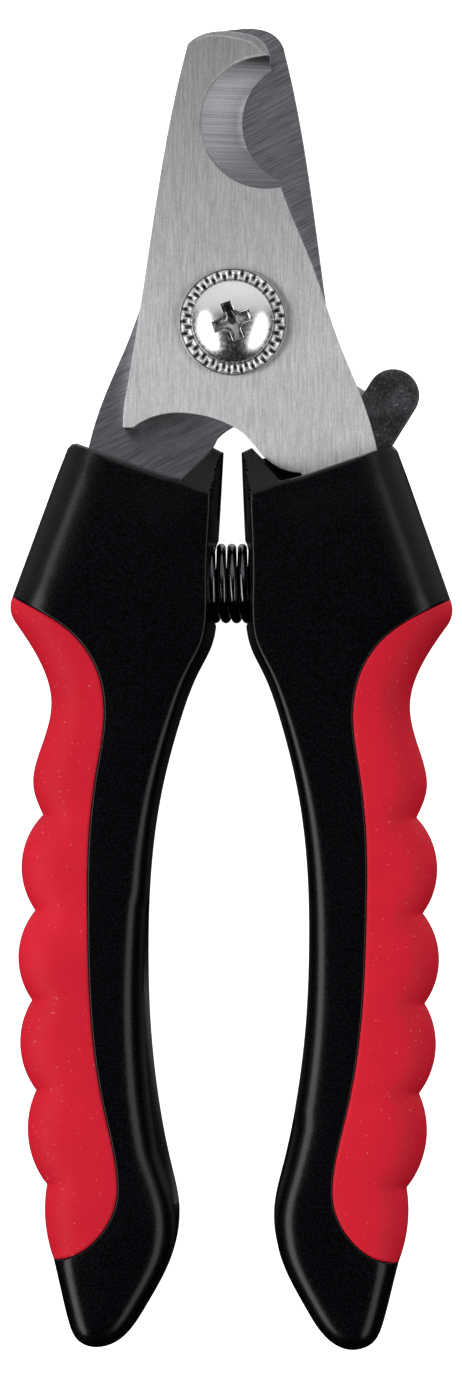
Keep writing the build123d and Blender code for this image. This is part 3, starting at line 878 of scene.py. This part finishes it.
def rolled_edge(path, widths, depths, face_z, side, turned):
    """What working an edge over takes off: a curved relief along a path, to the left of its direction.

    widths and depths are given as (shares of the path, values there).
    """
    path = spline(path, 0.3)
    ahead = np.gradient(path, axis=0)
    ahead /= np.linalg.norm(ahead, axis=1)[:, None]
    into = np.stack((-ahead[:, 1], ahead[:, 0]), 1)
    share = np.linspace(0, 1, len(path))
    rings = []
    for p, direction, w, d in zip(path, into, np.interp(share, *widths), np.interp(share, *depths)):
        section = [(-0.25, 0.3), (-0.25, -1.6 * d), (0.0, -1.6 * d), (0.1, -1.15 * d), (0.5 * w, -0.85 * d),
                   (w - 0.26, -0.75 * d), (w - 0.18, -0.62 * d), (w - 0.06, -0.1 * d), (w, 0.01), (w, 0.3)]
        sign = -1 if turned else 1
        rings.append(np.array([(side * (p[0] + direction[0] * a), p[1] + direction[1] * a, face_z + sign * z)
                               for a, z in section]))
    return swept(rings)


UV_TURNS = {"across_y": 0.0, "across_x": math.radians(90), "across_slant": SLANT}


def add_directions(mesh):
    """UV maps, seen from the front, whose u runs across the brushing: one for each direction of it."""
    corner_vert = np.empty(len(mesh.loops), int)
    mesh.loops.foreach_get("vertex_index", corner_vert)
    place_of = np.empty(len(mesh.vertices) * 3)
    mesh.vertices.foreach_get("co", place_of)
    x, y, _ = place_of.reshape(-1, 3)[corner_vert].T
    for name, turn in UV_TURNS.items():
        layer = mesh.uv_layers.new(name=name)
        uv = np.stack((x * math.cos(turn) + y * math.sin(turn), y * math.cos(turn) - x * math.sin(turn)), 1)
        layer.data.foreach_set("uv", (uv * 10).ravel())


def build_blades():
    """The blades: edges rolled over at the tip and above the notch, and the notch's ground bevel."""
    turn = np.radians(np.arange(205, 86, -7))
    brow_path = NOTCH + NOTCH_R * np.stack((np.cos(turn), np.sin(turn)), 1)
    for node, body, material, face, side in (("front_blade", "right_half", BLADE, FACE_Z, 1),
                                             ("rear_blade", "left_half", REAR_PAINTED_SHADE, REAR_FACE_Z, -1)):
        obj = bevelled(node, node + "_steel", body, "blade_steel", material, 0.1)
        turned = side < 0
        tip = rolled_edge(BLADE_TIP[::-1], ((0, 0.12, 0.4, 0.85, 1), (0.4, 1.1, 0.95, 0.5, 0.3)),
                          ((0, 0.4, 0.85, 1), (0.1, 0.18, 0.1, 0.03)), face, side, turned)
        brow = rolled_edge(brow_path, ((0, 0.2, 1), (0.2, 0.28, 0.28)), ((0, 0.2, 1), (0.01, 0.06, 0.06)),
                           face, side, turned)
        for tool in (tip, brow):
            cut(obj, *tool)
        mesh = obj.data
        mesh.materials.clear()
        mesh.materials.append(material)
        mesh.materials.append(GRIND)
        for polygon in mesh.polygons:
            x, y = side * polygon.center.x / MM, polygon.center.y / MM - PIVOT_Y
            in_notch = math.hypot(x - NOTCH[0], y - NOTCH[1]) < NOTCH_R + 0.1
            tilt = abs(polygon.normal.z)
            polygon.material_index = int(in_notch and 0.2 < tilt < 0.995)
        mesh.shade_smooth()
        mesh.set_sharp_from_angle(angle=math.radians(15))
        for polygon in mesh.polygons:
            polygon.use_smooth = abs(polygon.normal.z) < 0.9995
        add_directions(mesh)


def cross_outline():
    """The screw's cross recess: four squared arms, with the corners between them cut back."""
    corners = [(CROSS_REACH, -CROSS_ARM), (CROSS_REACH, CROSS_ARM), (CROSS_CUT, CROSS_ARM),
               (CROSS_ARM, CROSS_CUT)]
    loop = []
    for quarter in range(4):
        angle = CROSS_TURN + quarter * math.pi / 2
        for x, y in corners:
            loop.append((x * math.cos(angle) - y * math.sin(angle),
                         x * math.sin(angle) + y * math.cos(angle)))
    return runs(loop + loop[:1], 0.07)[:-1]


def dome(points):
    """Height of the screw head's dome."""
    radius = np.linalg.norm(points, axis=1)
    return DOME_TOP - DOME_R + np.sqrt(DOME_R ** 2 - np.minimum(radius, HEAD_R) ** 2)


def build_screw():
    """The pivot screw: a smooth dome with a cross recess, on a plain shoulder and shank."""
    n = 144
    cross = cross_outline()
    into = inward(cross)
    found = [circle(n) * r for r in (HEAD_R, 4.97, 4.93, 4.86)]
    for offset in (-0.14, -0.07, -0.03):
        found.append(cross + into * offset)
    for offset in (0, 0.04, 0.1, 0.17, 0.25, 0.34, 0.44):
        ring = cross + into * offset
        gap, _ = nearest(ring, cross)
        found.append(ring[gap > 0.96 * offset])
    for cell, low, high in ((0.13, 0.0, 2.6), (0.24, 2.6, 4.72)):
        side = np.arange(-high, high, cell)
        grid = np.stack(np.meshgrid(side, side), -1).reshape(-1, 2)
        radius = np.linalg.norm(grid, axis=1)
        grid = grid[(radius >= low) & (radius < high)]
        gap, _ = nearest(grid, cross)
        within = inside(grid, cross)
        found.append(grid[(gap > 0.2) & (~within | (gap > 0.5))])
    points = np.concatenate(found)
    gap, _ = nearest(points, cross)
    within = inside(points, cross) & (gap > 1e-4)
    radius = np.linalg.norm(points, axis=1)
    deepest = np.interp(radius, (0.4, 1.0, CROSS_REACH), (1.75, 1.5, 0.9))
    lip = 0.05
    recess = np.minimum(lip + 4.2 * gap, deepest)
    top = dome(points) - np.where(within, recess, lip * (1 - step_up(gap, 0, 0.12)))
    top -= rounding(HEAD_R - radius, 0.14)
    head = plate_whole(points, n, triangles(points, n), top, np.full(len(points), HEAD_Z))
    obj = make_object("pivot_screw_finished", *head, [CHROME], sharp=28)
    combine(obj, make_object("tool", *revolved(SHANK)), "UNION")
    mesh = obj.data
    # Faces down in the cross recess get the darker chrome: painted shade.
    mesh.materials.append(RECESS_PAINTED_SHADE)
    middles = np.array([p.center[:2] for p in mesh.polygons]) / MM - (0, PIVOT_Y)
    heights = np.array([p.center[2] for p in mesh.polygons]) / MM
    recess_shade_faces = inside(middles, cross) & (heights < dome(middles) - 0.12) & (heights > HEAD_Z)
    mesh.polygons.foreach_set("material_index", recess_shade_faces.astype(int))
    normals = []
    for loop in mesh.loops:
        co = mesh.vertices[loop.vertex_index].co / MM
        out = Vector((co.x, co.y - PIVOT_Y, co.z - DOME_TOP + DOME_R))
        smooth = abs(out.length - DOME_R) < 0.004 and out.xy.length < 4.8
        normals.append(out / DOME_R if smooth else (0, 0, 0))
    mesh.normals_split_custom_set(normals)
    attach(obj, "right_half")
    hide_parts("pivot_screw")


def build_washer():
    """The serrated washer: a raised line that runs in and out between the screw head and its rim."""
    radii = (3.0, 4.93, 5.0, 5.1, 5.19, 5.28, 5.37, 5.46, 5.6, 5.78, 5.9, 6.0, 6.1, 6.2, 6.3, 6.36, 6.43,
             WASHER_R)
    inner, middle, outer = 5.28, 5.7, 6.1       # radii of the line
    half_width, height, base_z = 0.2, 0.26, 9.95
    rim_z, edge_z = 10.12, 10.02
    pitch = math.tau * middle / TOOTH_COUNT
    profiles = []
    for tooth in range(TOOTH_COUNT):
        for u in np.arange(16) / 16:
            angle = math.tau * (tooth + u) / TOOTH_COUNT
            to_bar = min(abs(u - 0.25), abs(u - 0.75)) * pitch
            heights = []
            for r in radii:
                level = inner if 0.25 <= u <= 0.75 else outer
                beyond = max(inner - r, r - outer, 0)
                gap = min(abs(r - level), math.hypot(to_bar, beyond))
                z = base_z + height * float(np.clip(1.25 - gap / half_width, 0, 1))
                heights.append(HEAD_Z if r < 4.95 else max(z, rim_z if 6.4 < r < 6.46 else 0))
            heights[-1] = edge_z
            section = [*zip(radii, heights), (WASHER_R, FACE_Z), (3.0, FACE_Z)]
            profiles.append([(r * math.cos(angle), r * math.sin(angle), z) for r, z in section])
    m, count = len(profiles[0]), len(profiles)
    faces = [(k * m + i, (k + 1) % count * m + i, (k + 1) % count * m + (i + 1) % m, k * m + (i + 1) % m)
             for k in range(count) for i in range(m)]
    obj = make_object("serrated_washer_finished", [p for section in profiles for p in section], faces,
                      [CELL_PAINTED_SHADE, RIDGE])
    # Faces above the cells take the ridge chrome; the low cells take the darker copy, painted shade.
    for polygon in obj.data.polygons:
        polygon.material_index = int(polygon.center.z > (base_z + 0.08) * MM)
    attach(obj, "right_half")
    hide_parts("serrated_washer")


def build_spring():
    """The return spring, a coil between the two handles."""
    wire_r, coil_r, turns, length = 0.575, 4.27, 16, 20.55
    per_turn, around = 36, 14
    count = turns * per_turn + 1
    t = np.linspace(0, 1, count)
    angle = t * turns * math.tau
    x = (t - 0.5) * length
    section = circle(around)
    centre = np.column_stack((x, SPRING_Y + coil_r * np.cos(angle), MID_Z + coil_r * np.sin(angle)))
    pitch = length / turns / math.tau
    rings = []
    for p, a in zip(centre, angle):
        out = np.array((0, math.cos(a), math.sin(a)))
        tangent = np.array((pitch, -coil_r * math.sin(a), coil_r * math.cos(a)))
        tangent /= np.linalg.norm(tangent)
        side = np.cross(tangent, out)
        rings.append(p + wire_r * (section[:, :1] * out + section[:, 1:] * side))
    obj = make_object("return_spring_coil", *swept(rings), [SPRING], sharp=60)
    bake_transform(obj)
    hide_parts("return_spring")


for side, side_name in SIDES:
    build_half(side, side_name, True)
    build_half(side, side_name, False)
build_grips()
build_blades()
build_spring()
build_screw()
build_washer()
for node, body, slot_name, material, width in (
        ("pivot_nut", "right_half", "chrome", CHROME, 0.12),
        ("wave_washer", "right_half", "spring_steel", SPRING, 0.08),
        ("lock_lever", "lock", "plain_steel", STEEL, 0.1),
        ("lock_tab_cover", "lock", "black_coating", COATING, 0.1)):
    bevelled(node, node + "_finished", body, slot_name, material, width)
for node, material in (("left_tang_pins", STEEL), ("right_tang_pins", STEEL), ("lock_rivet", STEEL),
                       ("lock_washer", SPRING)):
    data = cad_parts[node].data
    data.materials.clear()
    data.materials.append(material)


# ---- floor, light and camera ----------------------------------------------------------------------
ROOM = ((0.42, 0.004), (0.5, 0.03), (0.6, 0.1), (0.72, 0.7), (1.0, 0.9))   # grey of the room from -Y to +Y
ROOM_BLUE = 1.02            # its blue against its red and green
SOFTBOX_POWER = {"left": 3.0, "right": 1.6}
SOFTBOX_AT = (0.465, -0.14, 0.344)
SOFTBOX_SIZE = (0.8, 0.34)  # along Y, and upright


def build_floor():
    """A pale floor that gives the object no light and shows in no reflection."""
    bpy.ops.mesh.primitive_plane_add(size=3.0, location=(0, 0, -0.0004))
    floor = bpy.context.object
    floor.name = "floor"
    m = Nodes("floor", Roughness=0.9)
    m.to("Base Color", m.ramp(m.noise((30, 30, 30)), [(0.3, 0.9), (0.7, 0.92)]))
    m.shader.inputs["Emission Color"].default_value = (1, 1, 1, 1)
    m.shader.inputs["Emission Strength"].default_value = 1.1
    floor.data.materials.append(m.material)
    floor.visible_glossy = False
    floor.visible_diffuse = False


def area_light(name, at, size, power):
    """A light that faces the middle of the object."""
    data = bpy.data.lights.new(name, "AREA")
    data.shape = "ELLIPSE"
    data.size, data.size_y = size
    data.energy = power
    light = new_object(name, data)
    light.location = at
    light.rotation_euler = (-Vector(at)).to_track_quat("-Z", "Y").to_euler()


def build_world():
    """A room that is pale beyond the blades and dark beyond the handles, but white to look at."""
    world = bpy.data.worlds.new("studio")
    bpy.context.scene.world = world
    world.use_nodes = True
    tree = world.node_tree
    room = tree.nodes["Background"]
    coordinates, split, lean, ramp, path, white, choice = (
        tree.nodes.new("ShaderNode" + kind)
        for kind in ("TexCoord", "SeparateXYZ", "Math", "ValToRGB", "LightPath", "Background", "MixShader"))
    lean.operation = "MULTIPLY_ADD"
    lean.inputs[1].default_value = lean.inputs[2].default_value = 0.5
    fill_ramp(ramp.color_ramp, [(position, (grey, grey, grey * ROOM_BLUE)) for position, grey in ROOM])
    white.inputs["Color"].default_value = (1, 1, 1, 1)
    for source, socket in ((coordinates.outputs["Generated"], split.inputs["Vector"]),
                           (split.outputs["Y"], lean.inputs[0]),
                           (lean.outputs["Value"], ramp.inputs["Fac"]),
                           (ramp.outputs["Color"], room.inputs["Color"]),
                           (path.outputs["Is Camera Ray"], choice.inputs["Fac"]),
                           (room.outputs["Background"], choice.inputs[1]),
                           (white.outputs["Background"], choice.inputs[2]),
                           (choice.outputs["Shader"], tree.nodes["World Output"].inputs["Surface"])):
        tree.links.new(source, socket)


build_floor()
build_world()
for side, side_name in SIDES[::-1]:
    area_light(side_name + "_softbox", (side * SOFTBOX_AT[0], *SOFTBOX_AT[1:]), SOFTBOX_SIZE,
               SOFTBOX_POWER[side_name])

# The camera looks down from a little to the right.
CAMERA_HEIGHT = 1.0
VIEW_LENGTH = 0.1669        # length of the frame's long side at the object
VIEW_PLANE = 0.008          # height at which that holds
CAMERA_ASIDE = 0.039
CAMERA_ROLL = math.radians(0.45)
SENSOR = 36                 # in the camera's own millimetres
data = bpy.data.cameras.new("camera")
data.sensor_fit = "AUTO"
data.sensor_width = SENSOR
data.lens = SENSOR * (CAMERA_HEIGHT - VIEW_PLANE) / VIEW_LENGTH
camera = new_object("camera", data)
aim = Vector((0.00007, -0.00015, VIEW_PLANE))
camera.location = (aim.x + CAMERA_ASIDE, aim.y, CAMERA_HEIGHT)
lean_aside = Euler((0, math.atan(CAMERA_ASIDE / (CAMERA_HEIGHT - VIEW_PLANE)), 0)).to_quaternion()
camera.rotation_euler = (lean_aside @ Euler((0, 0, CAMERA_ROLL)).to_quaternion()).to_euler()
bpy.context.scene.camera = camera
bpy.context.scene.view_settings.view_transform = "Standard"
